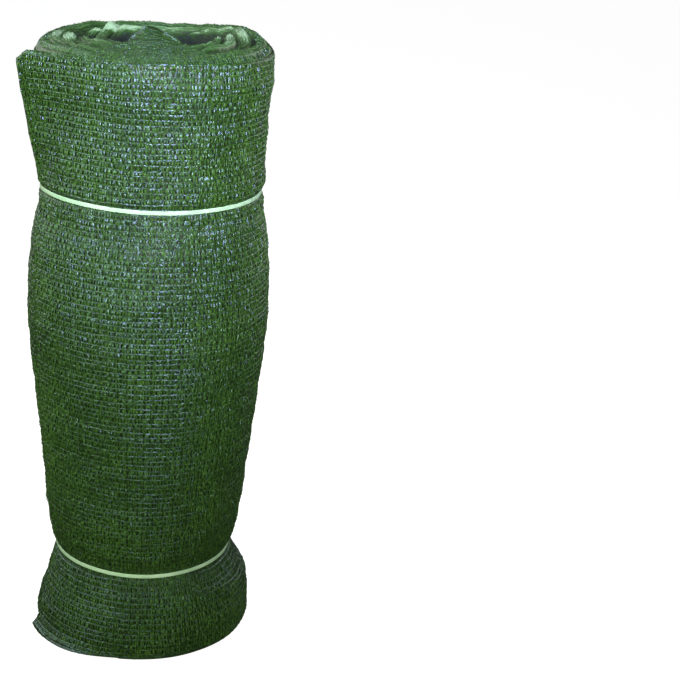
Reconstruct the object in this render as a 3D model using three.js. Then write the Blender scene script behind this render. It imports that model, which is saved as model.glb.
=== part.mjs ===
// A roll of green knitted shade netting that stands on end, held by two flat ties.
// The net is 2 m wide. It is folded in half along its length and then wound up, so the roll is 1 m tall, its
// upper end shows the folds and its lower end the two selvedges. The loose end leaves the roll at its left.
// Units are millimetres. +Z is up, the origin is on the roll's axis at its foot, and the front faces -Y.
import * as THREE from 'three'
import { mergeVertices } from 'three/addons/utils/BufferGeometryUtils.js'

// Netting
const LAYER = 1.3 // one layer of knitted net
const LAYER_GAP = 1.2 // air between the two layers of the folded net
const SEAT = 0.6 // clearance between two pieces that lie on each other
const WRAP = 2 * LAYER + LAYER_GAP + SEAT // one more turn adds this to the radius

// Ties
const TIE_WIDTH = 6.5
const TIE_THICKNESS = 1.4
const TIE_LAP_ANGLE = 90 // where the tie's ends overlap, at the back
const TIE_LAP_SPREAD = 8 // degrees to each side of that
const UPPER_TIE = 763
const LOWER_TIE = 141
const TIE_SLACK = 25 // dents fade out this near a tie

// Winding: seen from above the net runs clockwise, and share counts the turn from the root of the loose end
const ROOT_ANGLE = 258
const LOOSE_LENGTH = 190 // from the root to the free edge, along the net
const TURN_COLUMNS = 64

// The outside of the root, from the foot up. steps is the number of mesh rows to the next height.
const SIDE = [
  { height: 0, radius: 178, steps: 1 },
  { height: 6, radius: 181.5, steps: 2 },
  { height: 34, radius: 177.5, steps: 2 },
  { height: 70, radius: 166, steps: 2 },
  { height: 112, radius: 154.5, steps: 2 },
  { height: 131, radius: 149, steps: 1 },
  { height: 136, radius: 146, steps: 1 },
  { height: 146, radius: 146, steps: 1 },
  { height: 152, radius: 149.5, steps: 2 },
  { height: 205, radius: 161, steps: 2 },
  { height: 290, radius: 169.5, steps: 2 },
  { height: 400, radius: 181.5, steps: 3 },
  { height: 580, radius: 195, steps: 2 },
  { height: 670, radius: 190.5, steps: 2 },
  { height: 728, radius: 179.5, steps: 1 },
  { height: 752, radius: 176.5, steps: 1 },
  { height: 758, radius: 174, steps: 1 },
  { height: 768, radius: 174, steps: 1 },
  { height: 774, radius: 176.5, steps: 1 },
  { height: 815, radius: 178, steps: 2 },
  { height: 890, radius: 179.5, steps: 2 },
  { height: 950, radius: 185, steps: 2 },
  { height: 979, radius: 184, steps: 0 }
]
const RIM = SIDE[SIDE.length - 1]

// Soft dents and swellings of the side, each fading out over its width and its height
const DENTS = [
  { angle: 350, height: 76, width: 70, tall: 38, out: 13 },
  { angle: 272, height: 0, width: 42, tall: 34, out: -4 },
  { angle: 235, height: 330, width: 40, tall: 110, out: -3.5 },
  { angle: 300, height: 520, width: 45, tall: 130, out: 3 },
  { angle: 30, height: 640, width: 50, tall: 120, out: -4 },
  { angle: 120, height: 430, width: 60, tall: 140, out: 4 },
  { angle: 285, height: 900, width: 38, tall: 60, out: 2.5 },
  { angle: 240, height: 905, width: 22, tall: 50, out: -3 },
  { angle: 150, height: 880, width: 50, tall: 60, out: -2.5 },
  { angle: 60, height: 70, width: 50, tall: 40, out: 3 }
]

// Upper end: the folds stand in soft ridges that run in a spiral, with a core that has slipped up
const END_HEIGHT = 983
const END_TURNS = 8
const RIDGE_STEPS = 4 // across one ridge
const RIDGE_RISE = 8
const SHOULDER = 0.07 // the share of the radius over which the end rounds down to the rim
const CORE = 0.12 // ridges fade in over this share of the radius at the middle
const END_LUMPS = [
  { x: -5, y: 4, wide: 32, deep: 34, rise: 21 },
  { x: -4, y: -72, wide: 40, deep: 62, rise: 10 },
  { x: -54, y: -14, wide: 20, deep: 34, rise: -14 },
  { x: 49, y: -2, wide: 22, deep: 38, rise: -14 },
  { x: 105, y: 55, wide: 30, deep: 40, rise: -7 },
  { x: -110, y: 40, wide: 28, deep: 50, rise: -6 },
  { x: 20, y: 110, wide: 50, deep: 30, rise: -4 }
]

// The rim is uneven: it sags at the left, and is pushed up at the front
const RIM_SWELLS = [
  { angle: 178, width: 45, rise: -9.5 },
  { angle: 140, width: 25, rise: 2.5 },
  { angle: 80, width: 40, rise: -2 },
  { angle: 32, width: 26, rise: 9 },
  { angle: 278, width: 42, rise: 5 }
]
const RIM_TALL = 50 // the swells fade in over this height below the rim

// Loose end: leaves is the angle where it parts from the roll, and flare how far its hem turns out
const LIFT = [
  { height: 0, leaves: 180 },
  { height: 769, leaves: 196 },
  { height: 785, leaves: 208 },
  { height: 812, leaves: 215 },
  { height: 875, leaves: 228 },
  { height: 950, leaves: 235 },
  { height: 1000, leaves: 236 }
]
const HEM = [
  { height: 0, flare: 15 },
  { height: 7, flare: 8 },
  { height: 15, flare: 3 },
  { height: 26, flare: 0 }
]
const HEM_SPREAD = 115 // the hem is fully turned out at this distance from the root
const FOLD_LINE = [
  { height: 0, top: 984 },
  { height: 60, top: 984 },
  { height: 170, top: 980 },
  { height: 190, top: 967 }
] // height holds the distance from the root here
const HEM_CLEARANCE = 1.5 // between the hem and the floor
const LOOSE_COLUMNS = 14
const FOLD_STEPS = 5
const FOLD_PUFF = 3 // the two layers part by this much more near the fold
const PUFF_TALL = 60

const NET_GREEN = new THREE.MeshStandardMaterial({ color: '#2f5428', roughness: 0.55, metalness: 0 })
const TIE_PALE = new THREE.MeshStandardMaterial({ color: '#cfe3c4', roughness: 0.4, metalness: 0 })

const radians = THREE.MathUtils.degToRad
const { clamp, lerp, smoothstep } = THREE.MathUtils

// The value of a table's column at a height, along a curve that doesn't overshoot its rows
function along(table, column, height) {
  const last = table.length - 1
  if (height <= table[0].height) return table[0][column]
  if (height >= table[last].height) return table[last][column]
  const k = table.findIndex((row) => row.height > height) - 1
  const slope = (i) =>
    (table[i + 1][column] - table[i][column]) / (table[i + 1].height - table[i].height)
  const tangent = (i) => {
    if (i === 0 || i === last) return 0
    const below = slope(i - 1)
    const above = slope(i)
    return below * above <= 0 ? 0 : (2 * below * above) / (below + above)
  }
  const span = table[k + 1].height - table[k].height
  const t = (height - table[k].height) / span
  const bend = t * t * (3 - 2 * t)
  return (
    lerp(table[k][column], table[k + 1][column], bend) +
    span * t * (1 - t) * ((1 - t) * tangent(k) - t * tangent(k + 1))
  )
}

// The share of a turn from the root of the loose end to an angle, clockwise
const shareAt = (angle) => THREE.MathUtils.euclideanModulo(ROOT_ANGLE - angle, 360) / 360

const apart = (angle, other) => THREE.MathUtils.euclideanModulo(angle - other + 180, 360) - 180

function rimSwell(angle) {
  return RIM_SWELLS.reduce((total, swell) => {
    return total + swell.rise * Math.exp(-((apart(angle, swell.angle) / swell.width) ** 2))
  }, 0)
}

function dents(angle, height) {
  const nearest = Math.min(Math.abs(height - UPPER_TIE), Math.abs(height - LOWER_TIE))
  const free = 1 - Math.exp(-((nearest / TIE_SLACK) ** 2))
  const sum = DENTS.reduce((total, dent) => {
    const aside = apart(angle, dent.angle) / dent.width
    return total + dent.out * Math.exp(-(aside ** 2) - ((height - dent.height) / dent.tall) ** 2)
  }, 0)
  return sum * free
}

// The outside of the net: turns is 0 at the root of the loose end, and less further in
function netRadius(turns, angle, height) {
  return along(SIDE, 'radius', height) + WRAP * turns + dents(angle, height)
}

const rollRadius = (share, height) => netRadius(share - 1, ROOT_ANGLE - 360 * share, height)

function polar(radius, angle, height) {
  return new THREE.Vector3(radius * Math.cos(radians(angle)), radius * Math.sin(radians(angle)), height)
}

// The net of the side at an angle, with the rim's unevenness
function sidePoint(share, height) {
  const angle = ROOT_ANGLE - 360 * share
  const fade = smoothstep(height, RIM.height - RIM_TALL, RIM.height)
  return polar(rollRadius(share, height), angle, height + fade * rimSwell(angle))
}

// Collects the triangles of one closed surface, and leaves out those with no area
function surface() {
  const corners = []
  const same = (a, b) => a.distanceToSquared(b) < 1e-8
  const triangle = (a, b, c) => {
    if (!same(a, b) && !same(b, c) && !same(c, a)) corners.push(a, b, c)
  }
  const quad = (a, b, c, d) => {
    triangle(a, b, c)
    triangle(a, c, d)
  }
  const geometry = () => {
    const merged = mergeVertices(new THREE.BufferGeometry().setFromPoints(corners), 1e-4)
    merged.computeVertexNormals()
    return merged
  }
  return { triangle, quad, geometry }
}

// Heights of the mesh rows up the side
function sideHeights() {
  const heights = SIDE.slice(0, -1).flatMap((row, k) =>
    Array.from({ length: row.steps }, (_, i) => lerp(row.height, SIDE[k + 1].height, i / row.steps))
  )
  return [...heights, RIM.height]
}

// The upper end without its ridges: ring is 0 at the axis and 1 at the rim
function endLevel(ring, angle) {
  const place = polar(ring * RIM.radius, angle, 0)
  const lumps = END_LUMPS.reduce(
    (total, lump) =>
      total + lump.rise * Math.exp(-(((place.x - lump.x) / lump.wide) ** 2) - ((place.y - lump.y) / lump.deep) ** 2),
    0
  )
  const rounding = clamp((ring - 1 + SHOULDER) / SHOULDER, 0, 1)
  return lerp(END_HEIGHT + lumps, RIM.height, rounding * rounding) + ring * ring * rimSwell(angle)
}

// How high one ridge of folds stands, which changes along the spiral
function ridgeRise(turn) {
  return RIDGE_RISE * (1 + 0.22 * Math.sin(8.1 * turn + 0.6) + 0.16 * Math.sin(13.7 * turn))
}

function endPoint(column, row) {
  const share = column / TURN_COLUMNS
  const ring = clamp((row / RIDGE_STEPS - 1 + share) / END_TURNS, 0, 1)
  const angle = ROOT_ANGLE - 360 * share
  const across = (row % RIDGE_STEPS) / RIDGE_STEPS
  const turn = Math.floor(row / RIDGE_STEPS) - 1 + share
  const fade = smoothstep(ring, 0, CORE) * clamp(END_TURNS - turn, 0, 1)
  const ridge = ring < 1 ? ridgeRise(turn) * Math.sin(Math.PI * across) ** 0.8 * fade : 0
  const radius = ring < 1 ? ring * (rollRadius(share, RIM.height) - WRAP * share) : rollRadius(share, RIM.height)
  return polar(radius, angle, endLevel(ring, angle) + ridge)
}

function rollGeometry() {
  const heights = sideHeights()
  const mesh = surface()
  const side = (column, row) => sidePoint(column / TURN_COLUMNS, heights[row])
  for (let row = 0; row < heights.length - 1; row++) {
    for (let column = 0; column < TURN_COLUMNS; column++) {
      mesh.quad(side(column + 1, row), side(column, row), side(column, row + 1), side(column + 1, row + 1))
    }
    // The step that the outer turn makes at the root of the loose end
    mesh.quad(side(0, row), side(TURN_COLUMNS, row), side(TURN_COLUMNS, row + 1), side(0, row + 1))
  }
  const endRows = (END_TURNS + 1) * RIDGE_STEPS
  for (let row = 0; row < endRows; row++) {
    for (let column = 0; column < TURN_COLUMNS; column++) {
      mesh.quad(endPoint(column, row), endPoint(column + 1, row), endPoint(column + 1, row + 1), endPoint(column, row + 1))
    }
  }
  mesh.triangle(endPoint(0, endRows - 1), endPoint(0, endRows), endPoint(TURN_COLUMNS, endRows))
  const foot = Array.from({ length: TURN_COLUMNS + 1 }, (_, column) => side(column, 0))
  const outline = foot.map((point) => new THREE.Vector2(point.x, point.y))
  THREE.ShapeUtils.triangulateShape(outline, []).forEach(([a, b, c]) => {
    const up = outline[b].clone().sub(outline[a]).cross(outline[c].clone().sub(outline[a])) > 0
    mesh.triangle(foot[a], up ? foot[c] : foot[b], up ? foot[b] : foot[c])
  })
  return mesh.geometry()
}

// A sheet with two faces: at(column, row, face) gives a point on its outer face, 1, or its inner face, -1
function sheetGeometry(columns, rows, at) {
  const mesh = surface()
  for (let column = 0; column < columns; column++) {
    for (let row = 0; row < rows; row++) {
      const corners = (face) => [
        at(column, row, face),
        at(column + 1, row, face),
        at(column + 1, row + 1, face),
        at(column, row + 1, face)
      ]
      mesh.quad(...corners(1).reverse())
      mesh.quad(...corners(-1))
    }
    mesh.quad(at(column, 0, 1), at(column + 1, 0, 1), at(column + 1, 0, -1), at(column, 0, -1))
    mesh.quad(at(column, rows, -1), at(column + 1, rows, -1), at(column + 1, rows, 1), at(column, rows, 1))
  }
  for (let row = 0; row < rows; row++) {
    mesh.quad(at(0, row, -1), at(0, row + 1, -1), at(0, row + 1, 1), at(0, row, 1))
    mesh.quad(at(columns, row, 1), at(columns, row + 1, 1), at(columns, row + 1, -1), at(columns, row, -1))
  }
  return mesh.geometry()
}

// A point of the loose end: far is the distance from the root, and out the offset from the net's outside
function loosePoint(far, height, out) {
  const onRoll = netRadius(0, ROOT_ANGLE, height)
  const leaves = along(LIFT, 'leaves', height)
  const held = Math.min(far, radians(ROOT_ANGLE - leaves) * onRoll)
  const angle = ROOT_ANGLE - THREE.MathUtils.radToDeg(held / onRoll)
  const radius = netRadius(shareAt(angle), angle, height)
  const flare = along(HEM, 'flare', height) * smoothstep(far, 0, HEM_SPREAD)
  const point = polar(radius + out + flare, angle, height)
  const straight = polar(far - held, angle - 90, 0)
  return point.add(straight)
}

// The folded net of the loose end: up the outer layer, over the fold and down the inner layer
function looseGeometry() {
  const heights = sideHeights().slice(1, -1)
  const layerRows = [HEM_CLEARANCE, ...heights]
  const turnRow = layerRows.length
  const rows = 2 * layerRows.length + FOLD_STEPS - 1
  const between = LAYER + LAYER_GAP
  const at = (column, row, face) => {
    const far = (LOOSE_LENGTH * column) / LOOSE_COLUMNS
    const top = along(FOLD_LINE, 'top', far)
    const puffAt = (height) =>
      FOLD_PUFF * smoothstep(far, 0, LOOSE_LENGTH / 2) * smoothstep(height, RIM.height - PUFF_TALL, RIM.height)
    const half = (height) => (between + puffAt(height)) / 2
    const middle = -LAYER / 2 - between / 2
    if (row < turnRow) {
      const height = layerRows[row]
      return loosePoint(far, height, middle + puffAt(height) / 2 + half(height) + (face * LAYER) / 2)
    }
    if (row > rows - turnRow) {
      const height = layerRows[rows - row]
      return loosePoint(far, height, middle + puffAt(height) / 2 - half(height) - (face * LAYER) / 2)
    }
    const turn = (Math.PI * (row - turnRow + 0.5)) / (rows - 2 * turnRow + 1)
    const reach = half(top) + (face * LAYER) / 2
    const centre = middle + puffAt(top) / 2
    return loosePoint(far, top - half(top) + Math.sin(turn) * reach, centre + Math.cos(turn) * reach)
  }
  return sheetGeometry(LOOSE_COLUMNS, rows, at)
}

// The tie lies on the loose end, runs straight down from its free edge and then lies on the roll
function tieGeometry(height) {
  const freeShare = LOOSE_LENGTH / netRadius(0, ROOT_ANGLE, height) / (2 * Math.PI) + 1 / TURN_COLUMNS
  const edge = netRadius(freeShare, ROOT_ANGLE - 360 * freeShare, height)
  const inner = (column) => {
    const share = (column % TURN_COLUMNS) / TURN_COLUMNS
    const lying = share <= freeShare ? netRadius(share, ROOT_ANGLE - 360 * share, height) : rollRadius(share, height)
    const past = 2 * Math.PI * (share - freeShare)
    const landing = Math.acos((edge - WRAP) / edge)
    const taut = past > 0 && past < landing ? (edge - WRAP) / Math.cos(landing - past) : 0
    return Math.max(lying, taut) + SEAT
  }
  const mesh = surface()
  const corner = (column, side, up) => {
    const angle = ROOT_ANGLE - (360 * (column % TURN_COLUMNS)) / TURN_COLUMNS
    const lap = Math.abs(angle - TIE_LAP_ANGLE) < TIE_LAP_SPREAD ? 2 : 1
    return polar(inner(column) + side * TIE_THICKNESS * lap, angle, height + up * TIE_WIDTH)
  }
  const ring = [
    [0, -0.5],
    [1, -0.5],
    [1, 0.5],
    [0, 0.5]
  ]
  for (let column = 0; column < TURN_COLUMNS; column++) {
    ring.forEach((here, k) => {
      const next = ring[(k + 1) % ring.length]
      mesh.quad(
        corner(column + 1, ...here),
        corner(column, ...here),
        corner(column, ...next),
        corner(column + 1, ...next)
      )
    })
  }
  return mesh.geometry()
}

function piece(name, geometry, material) {
  const mesh = new THREE.Mesh(geometry, material)
  mesh.name = name
  return mesh
}

const netRoll = new THREE.Group()
netRoll.add(
  piece('roll', rollGeometry(), NET_GREEN),
  piece('loose_end', looseGeometry(), NET_GREEN),
  piece('upper_tie', tieGeometry(UPPER_TIE), TIE_PALE),
  piece('lower_tie', tieGeometry(LOWER_TIE), TIE_PALE)
)

export default netRoll
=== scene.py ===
import math

import bpy
import numpy as np
from mathutils import Matrix, Vector


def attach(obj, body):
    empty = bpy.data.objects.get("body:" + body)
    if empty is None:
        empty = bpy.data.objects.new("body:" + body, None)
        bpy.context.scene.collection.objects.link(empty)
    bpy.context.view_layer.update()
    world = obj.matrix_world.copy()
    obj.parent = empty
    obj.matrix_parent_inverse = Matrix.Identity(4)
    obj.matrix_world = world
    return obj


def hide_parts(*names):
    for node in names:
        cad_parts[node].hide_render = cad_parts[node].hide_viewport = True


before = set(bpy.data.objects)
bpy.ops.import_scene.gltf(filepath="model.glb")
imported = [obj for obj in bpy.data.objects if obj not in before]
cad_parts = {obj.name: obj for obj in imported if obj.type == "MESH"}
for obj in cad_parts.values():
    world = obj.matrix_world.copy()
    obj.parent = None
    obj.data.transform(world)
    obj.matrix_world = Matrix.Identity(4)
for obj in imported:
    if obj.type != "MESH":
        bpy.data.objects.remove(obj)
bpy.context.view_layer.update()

MM = 0.001  # the shapes below are worked out in millimetres
rng = np.random.default_rng(11)

# Sizes shared with the solids
ROOT_ANGLE = 258  # where the loose end leaves the roll, in degrees from +X
LOOSE_LENGTH = 190  # from the root to the free edge
LAYER_PITCH = 2.5  # from one layer of the folded net to the other
WRAP = 4.4  # one more turn adds this to the radius
UPPER_TIE, LOWER_TIE = 763, 141
TIE_WIDTH = 6.5

# The outside of the root of the loose end: height, radius
SIDE = [
    (0, 178), (6, 181.5), (34, 177.5), (70, 166), (112, 154.5), (131, 149), (136, 146), (146, 146),
    (152, 149.5), (205, 161), (290, 169.5), (400, 181.5), (580, 195), (670, 190.5), (728, 179.5),
    (752, 176.5), (758, 174), (768, 174), (773, 178.3), (815, 178), (890, 179.5), (950, 185), (979, 184),
]
RIM = 979
RIM_RADIUS = 184
RIM_BAND = 50  # the swells of the rim fade out this far below it

# Soft dents and swellings: angle, height, width in degrees, fading height, how far they stand out
DENTS = [
    (350, 76, 70, 38, 13), (272, 0, 42, 34, -4), (235, 330, 40, 110, -3.5), (300, 520, 45, 130, 3),
    (30, 640, 50, 120, -4), (120, 430, 60, 140, 4), (285, 900, 38, 60, 2.5), (240, 905, 22, 50, -3),
    (150, 880, 50, 60, -2.5), (60, 70, 50, 40, 3),
]

# Unevenness of the rim: angle, width, rise
RIM_SWELLS = [(178, 45, -9.5), (140, 25, 2.5), (80, 40, -2), (32, 26, 9), (278, 42, 5)]

# The upper end: its level, the main and fine twists of the folded net and how high their folds stand
END_LEVEL = 983
MAIN_TURNS, MAIN_RISE = 8, 10
FINE_TURNS, FINE_RISE = 42, 2.6

# Its swells (x, y, wide, deep, rise): the slipped-up core, the shoulder in front of it and the low back
END_SWELLS = [(-5, 4, 32, 34, 21), (-4, -72, 46, 62, 10), (20, 110, 50, 30, -4)]

# The same columns for dark hollows between loose folds and for loops of folds that catch the light; the
# hollows are also painted darker as painted shade, the loops lighter as a painted highlight
END_LOOPS = [
    (-52, -10, 19, 34, -13), (53, 4, 25, 40, -14), (105, 45, 16, 34, -8), (-105, 20, 14, 36, -8),
    (-58, 52, 26, 12, 9), (62, 72, 20, 12, 6), (-131, -7, 15, 22, 7), (-100, 49, 20, 10, 6),
    (-160, 20, 16, 30, 7), (95, 0, 26, 7, 5), (140, 40, 12, 34, 5), (118, 86, 30, 9, 3),
]
EVEN_LIGHT = 0.4  # how light the net is painted where it lies flat, between painted shade and painted highlight, from 0 to 1
LOOP_RISE, HOLLOW_DEPTH = 13, 26  # a loop this high, or a hollow this deep, changes the painted light and shade by 1

# The loose end: the angle where it parts from the roll at each height
LIFT = [(0, 180), (769, 196), (785, 208), (812, 215), (875, 228), (950, 235), (1000, 236)]

# How far its hem turns out at each height
HEM = [(0, 15), (7, 8), (15, 3), (26, 0)]
HEM_SPREAD = 115  # the hem is fully turned out this far from the root

# The height of its fold, by distance from the root
FOLD_LINE = [(0, 984), (60, 984), (170, 980), (190, 967)]
LOOSE_INSET = 0.65  # its outer face lies this far inside the net's own radius, under the knit

# The knit: three chains to the inch run round the roll, and flat tapes cross between them
CHAIN_PITCH = 8.47
TAPE_PITCH = 4.4  # a little wider than real, which keeps the knit within its count of faces
CHAIN_WIDTH = 2.3
TAPE_WIDTH = 3.4
SELVEDGE = (2.5, 5, 7.5)  # the net's edge has a few chains close together
FIRST_CHAIN = 12  # the height of the first chain above them
CHAIN_STEP = 3.3  # from one loop of a chain to the next
TURN = 1150  # the length of net in the outer turn
UNDER_KNIT = -0.4  # the layer below lies this far inside the knit


def along(rows, at):
    """A table's value at each place, on a curve that doesn't overshoot its rows."""
    x, y = np.array(rows, float).T
    slope = np.diff(y) / np.diff(x)
    product = slope[:-1] * slope[1:]
    both = np.where(product > 0, slope[:-1] + slope[1:], 1)
    tangent = np.concatenate([[0], np.where(product > 0, 2 * product / both, 0), [0]])
    place = np.clip(at, x[0], x[-1])
    k = np.clip(np.searchsorted(x, place, side="right") - 1, 0, len(x) - 2)
    span = x[k + 1] - x[k]
    t = (place - x[k]) / span
    level = y[k] + (y[k + 1] - y[k]) * t * t * (3 - 2 * t)
    return level + span * t * (1 - t) * ((1 - t) * tangent[k] - t * tangent[k + 1])


def smooth(x, low, high):
    """0 up to low, 1 from high on, and a soft step between them."""
    t = np.clip((x - low) / (high - low), 0, 1)
    return t * t * (3 - 2 * t)


def apart(angle, other):
    """From one angle to the other the short way round, in degrees."""
    return np.mod(angle - other + 180, 360) - 180


def from_ties(height):
    """How far a height is from the nearer strap."""
    return np.minimum(abs(height - UPPER_TIE), abs(height - LOWER_TIE))


def dents(angle, height):
    """The soft dents and swellings of the side, held flat under the straps."""
    total = 0
    for at, up, width, tall, out in DENTS:
        total = total + out * np.exp(-((apart(angle, at) / width) ** 2) - ((height - up) / tall) ** 2)
    return total * (1 - np.exp(-((from_ties(height) / 25) ** 2)))


def creases(angle, height):
    """Shallow ripples of the wound cloth, and short pleats where the straps draw it in."""
    turn = np.radians(angle)
    slow = 0.5 * np.sin(5 * turn + 0.011 * height) + 0.4 * np.sin(9 * turn - 0.017 * height + 1)
    rows = 0.6 * np.sin(0.083 * height + 1.3 * np.sin(2 * turn)) + 0.4 * np.sin(0.17 * height + 2 * turn)
    rows = rows + 0.2 * np.sin(0.39 * height + 2 * np.sin(3 * turn)) * np.sin(4 * turn + 0.01 * height)
    pleats = 0.6 * np.sin(31 * turn + 1.5 * np.sin(3 * turn)) + 0.5 * np.sin(47 * turn)
    near = np.exp(-((from_ties(height) - 22) / 16) ** 2)
    clear = smooth(from_ties(height), 4, 16)
    return (slow + rows) * clear + pleats * near * clear


def net_radius(turns, angle, height):
    """The outside of the net, turns after the root of the loose end."""
    return along(SIDE, height) + WRAP * turns + dents(angle, height) + creases(angle, height)


def polar(radius, angle, height):
    """Points from their radius, angle in degrees and height."""
    turn = np.radians(angle)
    return np.stack(np.broadcast_arrays(radius * np.cos(turn), radius * np.sin(turn), height), -1)


def rim_swell(angle):
    """How far the rim rises or sinks."""
    return sum(rise * np.exp(-((apart(angle, at) / width) ** 2)) for at, width, rise in RIM_SWELLS)


def roll_point(share, height, out=0.0):
    """A point of the roll's side. share counts the turn clockwise from the root of the loose end."""
    angle = ROOT_ANGLE - 360 * share
    radius = net_radius(share - 1, angle, height) + out
    return polar(radius, angle, height + smooth(height, RIM - RIM_BAND, RIM) * rim_swell(angle))


def crumple(x, y):
    """Sharp little creases that cross each other, coarse and fine."""
    bent_x, bent_y = x + 7 * np.sin(y / 19 + 1), y + 7 * np.sin(x / 23 + 2)
    total = 0
    for k in range(7):
        length, turn = 52 * 0.8**k, math.radians(137.5 * k + 20)
        phase = (bent_x * math.cos(turn) + bent_y * math.sin(turn)) / length
        total = total + 0.03 * length * (1 - 2 * np.abs(np.sin(math.pi * phase + 2.4 * k)))
    return total


def draped(x, y):
    """1 where the outer net has slumped over the folds, in the middle and towards the front rim, else 0."""
    wide = 34 + 72 * smooth(-y, 20, 184)
    return np.exp(-((x / wide) ** 4)) * smooth(-y, -70, 0)


def humps(rows, x, y):
    """The level of soft mounds and hollows: each row has its place, its two widths and its rise."""
    level = 0
    for at_x, at_y, wide, deep, rise in rows:
        level = level + rise * np.exp(-(((x - at_x) / wide) ** 2) - ((y - at_y) / deep) ** 2)
    return level


def fold_rise(turns, share, ring):
    """Folds side by side in a spiral: 0 in the gaps between them, about 1 on their crests."""
    across = np.mod(turns * ring - share, 1)
    place = turns * ring - across
    calm = smooth(1 - ring, 0.1, 0.25)
    uneven = 1 + calm * (0.3 * np.sin(8.1 * place + 0.6) + 0.2 * np.sin(13.7 * place))
    return uneven * np.sin(np.pi * across) ** 0.6


def end_relief(share, ring):
    """The upper end before it is bent over the rim: x, y, level, and its painted light and shade, from 0 to
    1.
    """
    angle = ROOT_ANGLE - 360 * share
    x, y, _ = np.moveaxis(polar(ring * RIM_RADIUS, angle, 0 * ring), -1, 0)
    turn = np.radians(angle)
    wander = 0.011 * np.sin(3 * turn + 11 * ring) + 0.006 * np.sin(8 * turn - 17 * ring)
    wander = wander * smooth(ring, 0.05, 0.3) * smooth(1 - ring, 0, 0.1)
    over = draped(x, y)
    inside = smooth(ring, 0, 0.1) * smooth(1 - ring, 0, 0.02)
    main = fold_rise(MAIN_TURNS, share, ring + wander)
    fine = fold_rise(FINE_TURNS, share, ring + wander)
    loops = humps(END_LOOPS, x, y)
    quiet = smooth(1 - ring, 0.02, 0.2)
    sunk = -5 * smooth(y, 20, 110) * smooth(1 - ring, 0.1, 0.22)
    level = END_LEVEL + humps(END_SWELLS, x, y) + sunk + loops * quiet
    level = level + MAIN_RISE * main * inside * (1 - 0.8 * over)
    level = level + FINE_RISE * fine * inside * (1 - 0.8 * over) * (0.15 + 0.85 * quiet)
    level = level + crumple(x, y) * (0.05 + 0.6 * quiet) * inside * (1 - 0.4 * over)
    # Painted light and shade: darker in the gaps between folds and in the hollows, lighter on the crests and
    # the loops
    light = EVEN_LIGHT + (0.4 * (main - 0.75) + 0.2 * (fine - 0.7)) * inside * (1 - over)
    light = light + np.where(loops > 0, loops / LOOP_RISE, loops / HOLLOW_DEPTH)
    return x, y, level, np.clip(light, 0, 1)


def end_point(share, ring, out=0.0):
    """A point of the upper end: the folds of the net stand side by side in a spiral."""
    angle = ROOT_ANGLE - 360 * share
    x, y, level, _ = end_relief(share, ring)
    shoulder = 0.07 + 0.07 * draped(x, y)
    rounding = np.clip((ring - 1 + shoulder) / shoulder, 0, 1) ** 2
    level = level * (1 - rounding) + RIM * rounding + ring**2 * rim_swell(angle)
    radius = ring * (net_radius(share - 1, angle, RIM) - WRAP * share)
    radius = np.where(ring < 1, np.clip(radius, 0, None), net_radius(share - 1, angle, RIM))
    return polar(radius, angle, level + out)


def loose_point(far, height, out=0.0):
    """A point of the loose end's outer face, far from its root along the cloth."""
    root_radius = along(SIDE, height)
    held = np.minimum(far, np.radians(ROOT_ANGLE - along(LIFT, height)) * root_radius)
    angle = ROOT_ANGLE - np.degrees(held / root_radius)
    radius = net_radius((ROOT_ANGLE - angle) / 360, angle, height)
    flare = along(HEM, height) * smooth(far, 0, HEM_SPREAD)
    point = polar(radius + out + flare, angle, height)
    return point + polar(far - held, angle - 90, 0.0)


def fold_point(far, rise, out=0.0, inner=False):
    """A point of the loose end. rise runs up one layer to the fold; out is the offset from the cloth."""
    top = along(FOLD_LINE, far)
    puff = 2.5 * smooth(far, 0, LOOSE_LENGTH / 2) * smooth(rise, RIM - 60, RIM)
    half = (LAYER_PITCH + puff) / 2
    over = np.clip((rise - (top - half)) / half, 0, 1) * math.pi / 2
    middle = -LOOSE_INSET - LAYER_PITCH / 2 + puff / 2
    side = -1 if inner else 1
    height = np.minimum(rise, top - half) + np.sin(over) * (half + out)
    return loose_point(far, height, middle + side * np.cos(over) * (half + out))


# Camera, floor and light


def look(name, place, yaw, pitch, roll, lens):
    """A camera that faces +Y, turned right by yaw, down by pitch and clockwise by roll, in degrees."""
    y, p, r = (math.radians(v) for v in (yaw, pitch, roll))
    ahead = np.array([math.sin(y) * math.cos(p), math.cos(y) * math.cos(p), -math.sin(p)])
    level = np.array([math.cos(y), -math.sin(y), 0])
    over = np.cross(level, ahead)
    right = math.cos(r) * level + math.sin(r) * over
    up = math.cos(r) * over - math.sin(r) * level
    camera = bpy.data.objects.new(name, bpy.data.cameras.new(name))
    camera.data.sensor_width = 36
    camera.data.lens = lens
    columns = np.stack([right, up, -ahead], 1)
    camera.matrix_world = Matrix.Translation(place) @ Matrix(columns.tolist()).to_4x4()
    bpy.context.scene.collection.objects.link(camera)
    return camera


bpy.context.scene.camera = look(
    "camera", (0, -2.36, 1.374), yaw=7.653, pitch=20.038, roll=3.952, lens=80.53
)
bpy.context.scene.view_settings.view_transform = "Standard"


def linear(hexes):
    """sRGB hex to linear colour."""
    parts = [int(hexes[i : i + 2], 16) / 255 for i in (1, 3, 5)]
    return (*(c / 12.92 if c <= 0.04045 else ((c + 0.055) / 1.055) ** 2.4 for c in parts), 1)


def area_light(name, place, target, size, power, colour, spread=180, shows_in_gloss=True):
    """A square lamp that faces its target: size in metres, power in watts, spread in degrees."""
    light = bpy.data.lights.new(name, "AREA")
    light.energy = power
    light.size = size
    light.spread = math.radians(spread)
    light.color = linear(colour)[:3]
    lamp = bpy.data.objects.new(name, light)
    lamp.location = place
    lamp.rotation_euler = (Vector(target) - Vector(place)).to_track_quat("-Z", "Y").to_euler()
    lamp.visible_glossy = shows_in_gloss
    bpy.context.scene.collection.objects.link(lamp)


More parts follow.
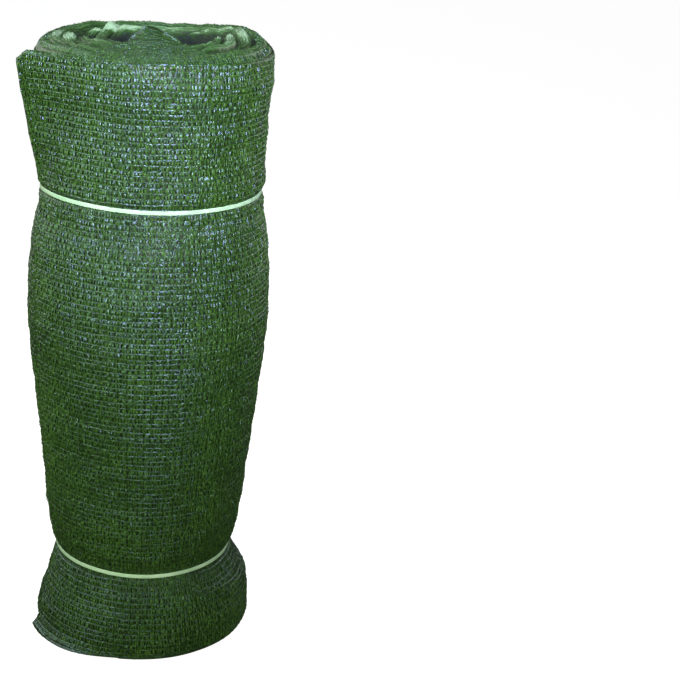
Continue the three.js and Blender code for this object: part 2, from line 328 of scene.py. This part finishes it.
# The window gives the bluish sparkle of the upper half, and the fills only soften the shadows
area_light("window", (0.3, -1.9, 1.6), (0.02, 0, 1.19), 0.5, 12.5, "#e2e9ff", 56)
area_light("skylight", (0.1, -0.35, 2.4), (0, 0, 0.98), 0.5, 0.55, "#d2deff", 40)
area_light("ceiling", (-0.4, 1.2, 2.3), (0, 0, 0.9), 0.9, 3, "#ffffff")
area_light("back_left", (-1.9, 1.5, 1.3), (0, 0, 0.5), 1.4, 19, "#f4f9e8")
area_light("back_right", (2.0, 1.6, 1.3), (0, 0, 0.5), 1.4, 19, "#f4f9e8")
area_light("left_window", (-1.4, -0.7, 1.7), (-0.1, -0.1, 0.8), 0.8, 19, "#f2f7e6")
area_light("right_fill", (1.9, -1.1, 1.4), (0.1, 0, 0.6), 1.2, 6, "#f6f9e6", shows_in_gloss=False)
area_light("left_fill", (-1.6, -1.2, 0.9), (0, 0, 0.6), 1.2, 8, "#f6f9e6", shows_in_gloss=False)
area_light("low_fill", (0, -1.9, 0.35), (0, 0, 0.1), 0.9, 5.5, "#f8f6dc", 90, shows_in_gloss=False)

world = bpy.data.worlds.new("studio")
world.use_nodes = True
world.node_tree.nodes["Background"].inputs["Color"].default_value = (1, 1, 1, 1)
world.node_tree.nodes["Background"].inputs["Strength"].default_value = 0.05
bpy.context.scene.world = world


def node(tree, kind, settings=None, links=None):
    """Adds a node with its properties and input values, and links its inputs to other nodes' outputs."""
    new = tree.nodes.new(kind)
    for key, value in (settings or {}).items():
        if isinstance(key, str) and hasattr(new, key):
            setattr(new, key, value)
        else:
            new.inputs[key].default_value = value
    for key, source in (links or {}).items():
        tree.links.new(source, new.inputs[key])
    return new


def material(name, **sockets):
    """A new material with its Principled shader's own sockets set."""
    new = bpy.data.materials.new(name)
    new.use_nodes = True
    shader = new.node_tree.nodes["Principled BSDF"]
    for key, value in sockets.items():
        shader.inputs[key.replace("_", " ")].default_value = value
    return new, new.node_tree, shader


def colour_from(tree, shader, factor, *stops):
    """The shader's base colour from a ramp between sRGB hex colours."""
    ramp = node(tree, "ShaderNodeValToRGB", links={"Fac": factor})
    elements = ramp.color_ramp.elements
    while len(elements) < len(stops):
        elements.new(0.5)
    for element, (place, hexes) in zip(elements, stops):
        element.position = place
        element.color = linear(hexes)
    tree.links.new(ramp.outputs["Color"], shader.inputs["Base Color"])


def per_millimetres(length):
    """The scale that makes a pattern repeat about every so many millimetres."""
    return 1 / (length * MM)


def noise(tree, length, detail=2.0):
    """A cloudy pattern with patches of about that length in millimetres."""
    coord = node(tree, "ShaderNodeTexCoord").outputs["Object"]
    settings = {"Scale": per_millimetres(length), "Detail": detail}
    return node(tree, "ShaderNodeTexNoise", settings, {"Vector": coord}).outputs["Fac"]


def sum_of(tree, first, second, share):
    """first + second * share"""
    settings = {"operation": "MULTIPLY_ADD", 1: share}
    return node(tree, "ShaderNodeMath", settings, {0: second, 2: first}).outputs[0]


def bumped(tree, shader, height, depth, strength=1.0):
    """Lets a pattern raise the surface by up to depth millimetres."""
    bump = node(tree, "ShaderNodeBump", {"Strength": strength, "Distance": depth * MM}, {"Height": height})
    tree.links.new(bump.outputs["Normal"], shader.inputs["Normal"])


GLOSS_TINT = linear("#bcc8ff")  # painted reflection colour: the gloss is tinted a little blue to stand for the bluish window light

# Stretched polyethylene tape: smooth, glossy and creased by the knitting, so that it sparkles
tape_material, tree, shader = material(
    "polyethylene_tape", Roughness=0.35, IOR=1.54, Specular_IOR_Level=0.8, Specular_Tint=GLOSS_TINT
)
tone = sum_of(tree, noise(tree, 3.6, 1), noise(tree, 110), 0.35)
colour_from(tree, shader, tone, (0.5, "#1a2e08"), (0.7, "#315115"), (0.92, "#4c702a"))
bumped(tree, shader, noise(tree, 2.2, 3), 0.85)  # its creases, drawn coarser than real so that they show

# Polyethylene monofilament, knitted into chains: the gloss of drawn thread, broken up by its loops
chain_material, tree, shader = material(
    "polyethylene_chain", Roughness=0.3, IOR=1.54, Specular_IOR_Level=1.0, Specular_Tint=GLOSS_TINT
)
colour_from(tree, shader, noise(tree, 4.5, 1), (0.3, "#172c06"), (0.55, "#2b4a13"), (0.8, "#4b6e2a"))
bumped(tree, shader, noise(tree, 2.2, 3), 0.85)

# The layers under the outer one: the same net, dark because it lies in shade, its rows along the cloth
wound_material, tree, shader = material("wound_netting", Roughness=0.42, IOR=1.54)
cloth = node(tree, "ShaderNodeUVMap", {"uv_map": "cloth"}).outputs["UV"]
parts = node(tree, "ShaderNodeSeparateXYZ", links={"Vector": cloth})
uneven = node(tree, "ShaderNodeTexNoise", {"Scale": per_millimetres(16)}, {"Vector": cloth}).outputs["Fac"]
across_tapes = sum_of(tree, parts.outputs["X"], uneven, 4 * MM)
waves = []
for place, pitch in ((across_tapes, TAPE_PITCH), (parts.outputs["Y"], CHAIN_PITCH)):
    turns = node(tree, "ShaderNodeMath", {"operation": "MULTIPLY", 1: math.tau / (pitch * MM)}, {0: place})
    waves.append(node(tree, "ShaderNodeMath", {"operation": "SINE"}, {0: turns.outputs[0]}).outputs[0])
weave = node(tree, "ShaderNodeMath", {"operation": "MAXIMUM"}, {0: waves[0], 1: waves[1]}).outputs[0]
level = node(tree, "ShaderNodeMapRange", {"From Min": -1, "From Max": 1}, {"Value": weave}).outputs[0]
colour_from(tree, shader, level, (0.2, "#081102"), (0.6, "#112506"), (0.95, "#1f360c"))
bumped(tree, shader, level, 0.8, 0.8)

# Folds of the upper end: the net doubled over, dull in the gaps and glossy on the crests, with painted shade
# in the gaps and a painted highlight on the crests
# Its gloss is tinted a little blue too, a painted reflection colour for the bluish light
fold_material, tree, shader = material(
    "folded_netting", IOR=1.54, Specular_IOR_Level=0.4, Specular_Tint=linear("#dfe6ff")
)
# The painted light and shade of the folds, worked out with their shapes
light = node(tree, "ShaderNodeAttribute", {"attribute_name": "painted_light_and_shade"}).outputs["Fac"]
tone = sum_of(tree, sum_of(tree, light, noise(tree, 4, 3), 0.35), noise(tree, 45), 0.2)
colour_from(
    tree, shader, tone,
    (0.38, "#0a1405"), (0.55, "#14260c"), (0.72, "#264218"), (0.88, "#446538"), (1.0, "#84a07c"),
)
dullness = {"From Min": 0.4, "From Max": 0.7, "To Min": 0.75, "To Max": 0.3}
dull = node(tree, "ShaderNodeMapRange", dullness, {"Value": tone})
tree.links.new(dull.outputs[0], shader.inputs["Roughness"])
bumped(tree, shader, noise(tree, 3, 3), 1.0)

# Extruded polypropylene strap: pale and satin, with a diagonal emboss that is drawn coarser than real
strap_material, tree, shader = material("polypropylene_strap", Roughness=0.35, IOR=1.49)
colour_from(tree, shader, noise(tree, 33, 3), (0.3, "#9cc29a"), (0.7, "#bcdab8"))
coord = node(tree, "ShaderNodeTexCoord").outputs["Object"]
emboss_settings = {"Scale": per_millimetres(3.8), "bands_direction": "DIAGONAL"}
emboss = node(tree, "ShaderNodeTexWave", emboss_settings, {"Vector": coord})
bumped(tree, shader, emboss.outputs["Fac"], 0.3, 0.3)

# Painted studio floor and wall: nearly white and matt, with a faint roller texture and an even glow
floor_material, tree, shader = material(
    "painted_floor", Roughness=0.8, Emission_Color=(1, 1, 1, 1), Emission_Strength=0.95
)
colour_from(tree, shader, noise(tree, 11, 3), (0.2, "#c2c2c0"), (0.8, "#cacac8"))

bpy.ops.object.select_all(action="DESELECT")
bpy.ops.mesh.primitive_plane_add(size=40, location=(0, 0, -0.0005))
floor = bpy.context.object
floor.name = "floor"
floor.data.materials.append(floor_material)
bpy.ops.mesh.primitive_cylinder_add(vertices=96, radius=19, depth=40, end_fill_type="NOTHING")
wall = bpy.context.object
wall.name = "wall"
wall.data.materials.append(floor_material)
wall.visible_shadow = False
for stage in (floor, wall):
    stage.visible_diffuse = False
    stage.visible_glossy = False

# Meshes in millimetres


def piece(name, points, faces, surfaces, cloth=None, bake=None, is_smooth=True):
    """A piece from its points and faces, with each point's place on the net and on a flat map."""
    mesh = bpy.data.meshes.new(name)
    mesh.from_pydata((np.asarray(points) * MM).tolist(), [], faces)
    for surface in surfaces:
        mesh.materials.append(surface)
    corners = np.empty(len(mesh.loops), int)
    mesh.loops.foreach_get("vertex_index", corners)
    for label, values, scale in (("cloth", cloth, MM), ("OFBake", bake, 1)):
        if values is not None:
            layer = mesh.uv_layers.new(name=label)
            layer.data.foreach_set("uv", (np.asarray(values)[corners] * scale).ravel())
    if is_smooth:
        mesh.shade_smooth()
    mesh.validate()
    new = bpy.data.objects.new(name, mesh)
    bpy.context.scene.collection.objects.link(new)
    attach(new, "root")
    return new


def knitted(name, surface, mesh):
    """A piece of the knit from the points, faces and flat map of its bars."""
    points, faces, flat = mesh
    return piece(name, points, faces, [surface], bake=flat, is_smooth=False)


def closed(new):
    """Merges the points that fall together and turns the faces outwards."""
    bpy.ops.object.select_all(action="DESELECT")
    bpy.context.view_layer.objects.active = new
    new.select_set(True)
    bpy.ops.object.mode_set(mode="EDIT")
    bpy.ops.mesh.select_all(action="SELECT")
    bpy.ops.mesh.remove_doubles(threshold=0.00001)
    bpy.ops.mesh.normals_make_consistent(inside=False)
    bpy.ops.object.mode_set(mode="OBJECT")


def bars(far, rise, out, place):
    """Closed three-sided bars. far, rise and out, each (bars, rings, 3), place the corners on the cloth."""
    count, rings, _ = far.shape
    first = np.arange(count)[:, None] * rings * 3 + np.arange(rings - 1)[None, :] * 3
    faces = []
    for here, ahead in ((0, 1), (1, 2), (2, 0)):
        quads = np.stack([first + here, first + ahead, first + ahead + 3, first + here + 3], -1)
        faces += quads.reshape(-1, 4).tolist()
    start = np.arange(count) * rings * 3
    stop = start + (rings - 1) * 3
    faces += np.stack([start + 2, start + 1, start], -1).tolist()
    faces += np.stack([stop, stop + 1, stop + 2], -1).tolist()
    crest = 0.4 * np.array([0, 0, 1])  # keeps every face wide enough on its flat map
    flat = np.stack([far + crest, rise + crest], -1).reshape(-1, 2)
    flat = 0.01 + 0.98 * (flat - flat.min(0)) / (flat.max(0) - flat.min(0))
    return place(far, rise, out).reshape(-1, 3), faces, flat


def row_wave(row, far):
    """Chains wander a little up and down. far is the distance along the cloth in millimetres."""
    return 0.7 * np.sin(far / 37 + 2.4 * row) + 0.5 * np.sin(far / 13.7 + 1.7 * row * row)


def knit_chains(rows, rises, far, place):
    """Chains along the cloth: each swells where a tape is knitted in."""
    row, along_row = np.broadcast_arrays(rows[:, None], np.atleast_2d(far))
    rise = np.interp(row, rows, rises) + row_wave(row, along_row)
    swell = 1 + 0.35 * np.cos(math.tau * along_row / TAPE_PITCH) + rng.normal(0, 0.14, row.shape)
    half = CHAIN_WIDTH / 2 * swell
    crest = rise - 0.2 + rng.normal(0, 0.34, row.shape)
    rises_of = np.stack([rise - half, rise + half, crest], -1)
    out = np.stack([0.1 + 0 * half, 0.1 + 0 * half, 0.8 * swell + 0.1], -1)
    return bars(np.repeat(along_row[..., None], 3, -1), rises_of, out, place)


def knit_tapes(rows, rises, far, place):
    """Flat tapes from each chain to the next. They lean this way and that and bulge between the chains."""
    row, start = np.meshgrid(rows[:-1], far, indexing="ij")
    row, start = row.ravel(), start.ravel() + rng.normal(0, 0.5, row.size)
    return tapes_at(row, start, rows, rises, place)


def tapes_at(row, start, rows, rises, place):
    """Tapes that start on the given rows, at the given places along them."""
    lean = rng.normal(0, 1.1, row.size) + 0.6 * np.where(np.arange(row.size) % 2, 1, -1)
    tip = rng.normal(0, 0.4, row.size)
    bulge = rng.uniform(0.3, 1.5, row.size)
    width = TAPE_WIDTH * rng.uniform(0.65, 1.15, row.size)
    crest = 0.85 * rng.uniform(0.25, 1.4, row.size)
    rings = []
    for step, share, lift in ((0, 0.8, 0), (0.5, 1, 1), (1, 0.8, 0)):
        middle = start + step * lean
        rise = np.interp(row + step, rows, rises) + row_wave(row + step, middle)
        half = width / 2 * share
        under = 0.05 + lift * bulge
        rings.append((
            np.stack([middle + half, middle - half, middle + tip * half], -1),
            np.stack([rise, rise, rise], -1),
            np.stack([under, under, under + crest], -1),
        ))
    far_of, rises_of, out = (np.stack(corner, 1) for corner in zip(*rings))
    return bars(far_of, rises_of, out, place)


def pressed(height, out):
    """The knit lies flat under the straps."""
    return out * (0.45 + 0.55 * smooth(from_ties(height), 3.5, 9))


# The wound body: side, flat foot and the folds of the upper end, one closed surface
COLUMNS = 240
share = np.arange(COLUMNS + 1) / COLUMNS
heights = np.concatenate([np.arange(0, RIM, 11.0), [height for height, _ in SIDE], [139, 143, 760.5, 765.5]])
heights = np.unique(heights)
END_STEPS = 4  # across one fine fold


def body_mesh():
    """Its points, faces, place on the cloth, flat map, how many faces the side has, and its painted light
    and shade.
    """
    side = roll_point(share[None, :], heights[:, None], UNDER_KNIT)
    ring_steps = np.arange(1, (FINE_TURNS + 1) * END_STEPS + 1)[:, None] / END_STEPS
    ring = np.clip((ring_steps - 1 + share[None, :]) / FINE_TURNS, 0, 1)
    top = end_point(share[None, :] + 0 * ring, ring)
    top = np.where(ring[..., None] >= 1, side[-1][None, :, :], top)
    top = np.where(ring[..., None] <= 0, end_point(0.0, np.array(0.0)), top)
    step = np.stack([side[:, 0], side[:, -1]], 1).reshape(-1, 3)
    points = np.concatenate([side.reshape(-1, 3), top.reshape(-1, 3), side[0], step])
    flat_share = np.broadcast_to(share, (len(heights), COLUMNS + 1))
    side_cloth = np.stack([flat_share * TURN, np.broadcast_to(heights[:, None], flat_share.shape)], -1)
    end_cloth = np.stack([share[None, :] * TURN * ring, 1000 + (1 - ring) * RIM_RADIUS], -1)
    step_cloth = np.stack(np.broadcast_arrays([0, WRAP], heights[:, None]), -1).reshape(-1, 2)
    foot_cloth = side[0][:, :2]
    cloth = np.concatenate([side_cloth.reshape(-1, 2), end_cloth.reshape(-1, 2), foot_cloth, step_cloth])
    # On the flat map the side fills the lower part, with the end, the step and the foot above it
    side_flat = side_cloth * (0.98 / TURN, 0.58 / RIM) + 0.01
    end_flat = np.stack([0.01 + 0.78 * share[None, :] + 0 * ring, 0.62 + 0.37 * ring], -1)
    foot_flat = (0.9, 0.8) + foot_cloth * 0.09 / 200
    step_flat = (0.8, 0.62) + step_cloth * (0.01 / WRAP, 0.37 / RIM)
    flat = np.concatenate([side_flat.reshape(-1, 2), end_flat.reshape(-1, 2), foot_flat, step_flat])
    wide = COLUMNS + 1
    r, c = np.meshgrid(np.arange(len(heights) - 1), np.arange(COLUMNS), indexing="ij")
    first = (r * wide + c).ravel()
    faces = np.stack([first + 1, first, first + wide, first + wide + 1], -1).tolist()
    r = len(points) - len(step) + 2 * np.arange(len(heights) - 1)
    faces += np.stack([r, r + 1, r + 3, r + 2], -1).tolist()
    side_faces = len(faces)
    r, c = np.meshgrid(np.arange(len(ring) - 1), np.arange(COLUMNS), indexing="ij")
    first = (side.shape[0] * wide + r * wide + c).ravel()
    faces += np.stack([first, first + 1, first + wide + 1, first + wide], -1).tolist()
    last = len(points) - len(step) - 2 * wide
    faces.append([last - wide, last, last + COLUMNS])
    faces.append([last + wide + i for i in range(wide)])
    # The upper end gets its painted light and shade; the side and foot keep the even value
    light = np.full(len(points), EVEN_LIGHT)
    end_start = len(heights) * wide
    light[end_start : end_start + ring.size] = end_relief(share[None, :], ring)[3].ravel()
    return points, faces, cloth, flat, side_faces, light


points, faces, cloth, flat, side_faces, light = body_mesh()
body = piece("wound_body", points, faces, [wound_material, fold_material], cloth, flat)
kinds = np.ones(len(faces), int)
kinds[:side_faces] = 0
kinds[-1] = 0  # the foot
body.data.polygons.foreach_set("material_index", kinds)
body.data.attributes.new("painted_light_and_shade", "FLOAT", "POINT").data.foreach_set("value", light)
closed(body)
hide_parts("roll")

# Chains and tapes of the roll's outer turn. What the loose end hides is left out.
rises = np.concatenate([SELVEDGE, np.arange(FIRST_CHAIN, RIM, CHAIN_PITCH)])
rows = np.arange(len(rises))
FIRST_TAPES = len(SELVEDGE) - 1
UNCOVERED = 985  # the part of the turn that the loose end leaves bare
MIDDLE, LIFTED, TOP = 46, 91, len(rows)  # the loose end stands off the roll from row LIFTED up
BANDS = [("low", 0, MIDDLE, UNCOVERED), ("middle", MIDDLE, LIFTED, UNCOVERED), ("high", LIFTED, TOP, TURN)]


def on_roll(far, rise, out):
    """A point of the knit on the roll's side."""
    return roll_point(1 + far / TURN, rise, pressed(rise, out))


for label, low, high, reach in BANDS:
    far = np.linspace(-reach, 0, round(reach / CHAIN_STEP))
    knitted("chains_" + label, chain_material, knit_chains(rows[low:high], rises[low:high], far, on_roll))
    part = slice(max(low - 1, FIRST_TAPES), high)
    far = -np.arange(TAPE_PITCH / 2, reach - 1, TAPE_PITCH)
    knitted("tapes_" + label, tape_material, knit_tapes(rows[part], rises[part], far, on_roll))


# The same net where it has slumped over the folds of the upper end. rise runs inwards from the rim here.
END_ROWS = np.arange(21)
OVER_RIM = 3  # this many rows go all the way round
RIM_STEPS, DRAPED_STEPS = 320, 76  # the steps of one chain there and further in
SHOWN_DRAPE = 0.35  # the net is knitted where it is draped more than this
FRONT = (ROOT_ANGLE - 270) / 360  # the share at the front


def on_end(far, rise, out):
    """A point of the knit on the upper end."""
    return end_point(far / TURN, np.clip(1 - rise / RIM_RADIUS, 0.001, 1), out)


def end_reach(row):
    """Where a row of the draped net starts and ends, as far along its turn."""
    share = FRONT + np.linspace(-0.5, 0.5, 401)
    x, y = end_relief(share, 1 - row * CHAIN_PITCH / RIM_RADIUS)[:2]
    inside = share[draped(x, y) > SHOWN_DRAPE]
    return inside[0] * TURN, inside[-1] * TURN


reaches = np.array([end_reach(row) for row in END_ROWS])
reaches[:OVER_RIM] = (-TURN, 0)
for label, first, stop, steps in (("rim", 1, OVER_RIM, RIM_STEPS), ("end", OVER_RIM, None, DRAPED_STEPS)):
    part = END_ROWS[first:stop]
    far = np.linspace(reaches[part, 0], reaches[part, 1], steps, axis=1)
    knitted(label + "_chains", chain_material, knit_chains(part, part * CHAIN_PITCH, far, on_end))
row, start = [], []
for number, (first, last) in zip(END_ROWS[:-1], reaches[:-1]):
    size = 1 - number * CHAIN_PITCH / RIM_RADIUS  # a turn further in is shorter
    count = round((last - first) * size / TAPE_PITCH)
    row += [number] * count
    start += np.linspace(first, last, count).tolist()
end_tapes = tapes_at(np.array(row), np.array(start), END_ROWS, END_ROWS * CHAIN_PITCH, on_end)
knitted("end_tapes", tape_material, end_tapes)


# The loose end: a folded sheet with the knit on both of its outer faces and over its fold
def loose_mesh():
    """The sheet's points, faces and place on the cloth."""
    far = np.linspace(0, LOOSE_LENGTH, 40)
    top = along(FOLD_LINE, far)
    near_fold = np.linspace(958, 1000, 12)  # closer together than below, because the cloth bends there
    up = np.concatenate([[1.5], heights[(heights > 3) & (heights < 955)], near_fold])
    rise = np.minimum(up[:, None], top[None, :])
    skins = []
    for skin in (0.3, -0.3):
        outer = fold_point(far[None, :], rise, skin)
        inner = fold_point(far[None, :], rise, skin, inner=True)
        skins.append(np.concatenate([outer, inner[::-1]]))
    tall, wide = skins[0].shape[:2]
    r, c = np.meshgrid(np.arange(tall - 1), np.arange(wide - 1), indexing="ij")
    first = (r * wide + c).ravel()
    under = tall * wide
    quads = np.stack([first + 1, first, first + wide, first + wide + 1], -1)
    faces = quads.tolist() + (quads[:, ::-1] + under).tolist()
    border = list(range(wide)) + [i * wide + wide - 1 for i in range(1, tall)]
    border += [(tall - 1) * wide + i for i in range(wide - 2, -1, -1)]
    border += [i * wide for i in range(tall - 2, 0, -1)]
    for here, ahead in zip(border, border[1:] + border[:1]):
        faces.append([here, ahead, ahead + under, here + under])
    up_cloth = np.concatenate([rise, 2 * RIM - rise[::-1]])
    cloth = np.stack([np.broadcast_to(far, up_cloth.shape), up_cloth], -1).reshape(-1, 2)
    return np.concatenate([skin.reshape(-1, 3) for skin in skins]), faces, np.tile(cloth, (2, 1))


points, faces, cloth = loose_mesh()
loose = piece("loose_cloth", points, faces, [wound_material], cloth)
closed(loose)
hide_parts("loose_end")


FOLD = FOLD_LINE[0][1]
loose_rises = np.append(rises, [FOLD - 2.5, FOLD])  # one more row beside the fold and one on it
loose_rows = np.arange(len(loose_rises))


def on_loose(far, rise, out, inner):
    """A point of the knit on the loose end."""
    far = np.clip(far, -1, LOOSE_LENGTH + 2)
    top = along(FOLD_LINE, far)
    rise = np.minimum(rise * top / FOLD, top)
    return fold_point(far, rise, pressed(rise, out) + 0.3, inner)


def on_outer(far, rise, out):
    return on_loose(far, rise, out, False)


def on_inner(far, rise, out):
    return on_loose(far, rise, out, True)


for label, place, low, near in (("outer", on_outer, 0, 0), ("inner", on_inner, LIFTED, 60)):
    far = np.arange(near, LOOSE_LENGTH, CHAIN_STEP)
    stop = len(loose_rows) - (place is on_inner)  # the chain on the fold is made once
    part = slice(low, stop)
    chains = knit_chains(loose_rows[part], loose_rises[part], far, place)
    knitted("loose_chains_" + label, chain_material, chains)
    part = slice(max(low, FIRST_TAPES), None)
    far = np.arange(near + TAPE_PITCH / 2, LOOSE_LENGTH - 1, TAPE_PITCH)
    tapes = knit_tapes(loose_rows[part], loose_rises[part], far, place)
    knitted("loose_tapes_" + label, tape_material, tapes)

# Straps: how far each corner of the section stands out, and its height as a share of the width
STRAP_OUTLINE = [
    (0, -0.5), (0.15, -0.5), (1.05, -0.46), (1.2, -0.38), (1.2, 0.38), (1.05, 0.46), (0.15, 0.5), (0, 0.5),
]
STRAP_COLUMNS = 240
STRAP_INSIDE = 0.75  # over the net's own radius, so that the pressed knit fits under it
LAP_RISE, LAP_ANGLE, LAP_HALF = 1.15, 90, 8  # its second layer at the back, so many degrees each way


def strap(name, height, replaced):
    """A strap that lies on the net, runs straight off the loose end's edge, and laps over itself behind."""
    shares = np.arange(STRAP_COLUMNS) / STRAP_COLUMNS
    angle = ROOT_ANGLE - 360 * shares
    free = LOOSE_LENGTH / net_radius(0, ROOT_ANGLE, height) / math.tau + 0.004
    lying = net_radius(np.where(shares <= free, shares, shares - 1), angle, height)
    edge = float(net_radius(free, ROOT_ANGLE - 360 * free, height))
    landing = math.acos((edge - WRAP) / edge)
    past = math.tau * (shares - free)
    taut = np.where((past > 0) & (past < landing), (edge - WRAP) / np.cos(landing - past), 0)
    inner = np.maximum(lying, taut) + STRAP_INSIDE
    lap = LAP_RISE * smooth(LAP_HALF - abs(apart(angle, LAP_ANGLE)), 0, 1.2)
    sag = 0.8 * np.sin(2 * np.radians(angle) + 0.5) + 0.4 * np.sin(5 * np.radians(angle))
    loops = []
    for out, up in STRAP_OUTLINE:
        loops.append(polar(inner + out + (lap if out > 1 else 0), angle, height + sag + up * TIE_WIDTH))
    sides = len(STRAP_OUTLINE)
    i, k = np.meshgrid(np.arange(STRAP_COLUMNS), np.arange(sides), indexing="ij")
    after, beside = (i + 1) % STRAP_COLUMNS, (k + 1) % sides
    quads = np.stack([after * sides + k, i * sides + k, i * sides + beside, after * sides + beside], -1)
    points = np.stack(loops, 1).reshape(-1, 3)
    band = piece(name, points, quads.reshape(-1, 4).tolist(), [strap_material])
    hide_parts(replaced)


strap("upper_strap", UPPER_TIE, "upper_tie")
strap("lower_strap", LOWER_TIE, "lower_tie")
